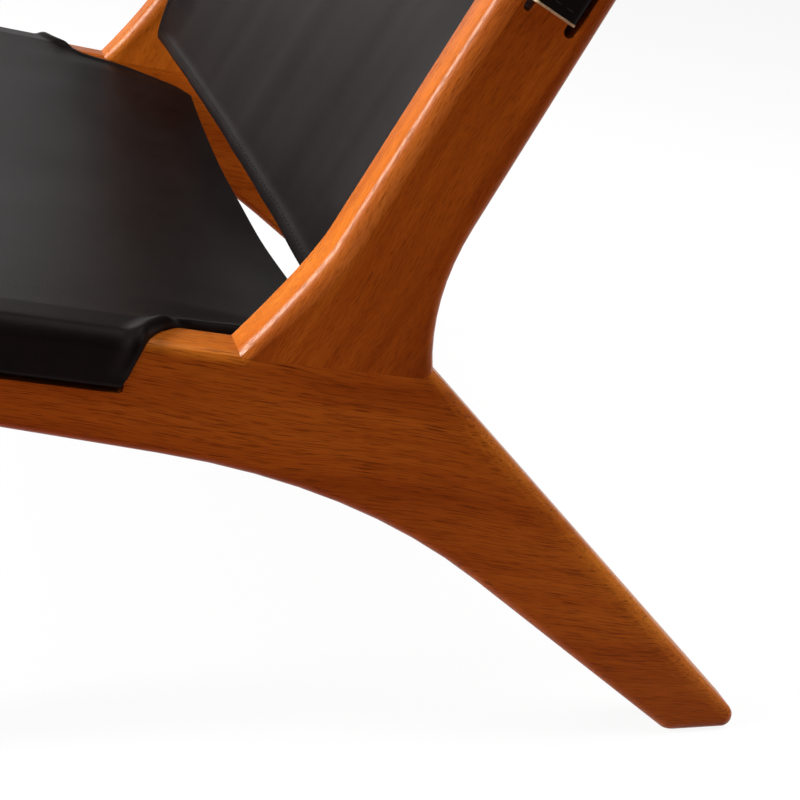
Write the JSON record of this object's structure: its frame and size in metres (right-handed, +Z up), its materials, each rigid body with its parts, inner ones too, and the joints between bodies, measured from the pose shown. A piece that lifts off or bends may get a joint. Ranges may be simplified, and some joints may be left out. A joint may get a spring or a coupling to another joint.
{
  "type": "sling lounge chair",
  "caption": "Low armless lounge chair: sculpted wood side frames with flush post joints, and a leather sling seat and back threaded through slots and held by rods in their hems.",
  "frame": {"origin": "on the floor, at the middle of the chair's width and length", "axes": "+X to the sitter's left, +Y to the rear, +Z up; the sitter faces -Y"},
  "size_m": [0.7206, 0.7926, 0.6982],
  "materials": {
    "frame_wood": "satin oil over reddish brown hardwood",
    "dowel_wood": "plain pale hardwood",
    "sling_leather": "smooth charcoal black, soft sheen"
  },
  "bodies": {
    "root": {"post_left": "frame_wood", "post_right": "frame_wood", "rail_leg_left": "frame_wood", "rail_leg_right": "frame_wood", "front_leg_left": "frame_wood", "front_leg_right": "frame_wood", "front_stretcher": "frame_wood", "rear_stretcher": "frame_wood", "crest_rail": "frame_wood", "post_dowel_left_1": "dowel_wood", "post_dowel_left_2": "dowel_wood", "leg_dowel_left_1": "dowel_wood", "leg_dowel_left_2": "dowel_wood", "post_dowel_right_1": "dowel_wood", "post_dowel_right_2": "dowel_wood", "leg_dowel_right_1": "dowel_wood", "leg_dowel_right_2": "dowel_wood", "seat_rod_left": "dowel_wood", "back_rod_left": "dowel_wood", "seat_rod_right": "dowel_wood", "back_rod_right": "dowel_wood", "seat_leather": "sling_leather", "back_leather": "sling_leather"}
  },
  "joints": []
}
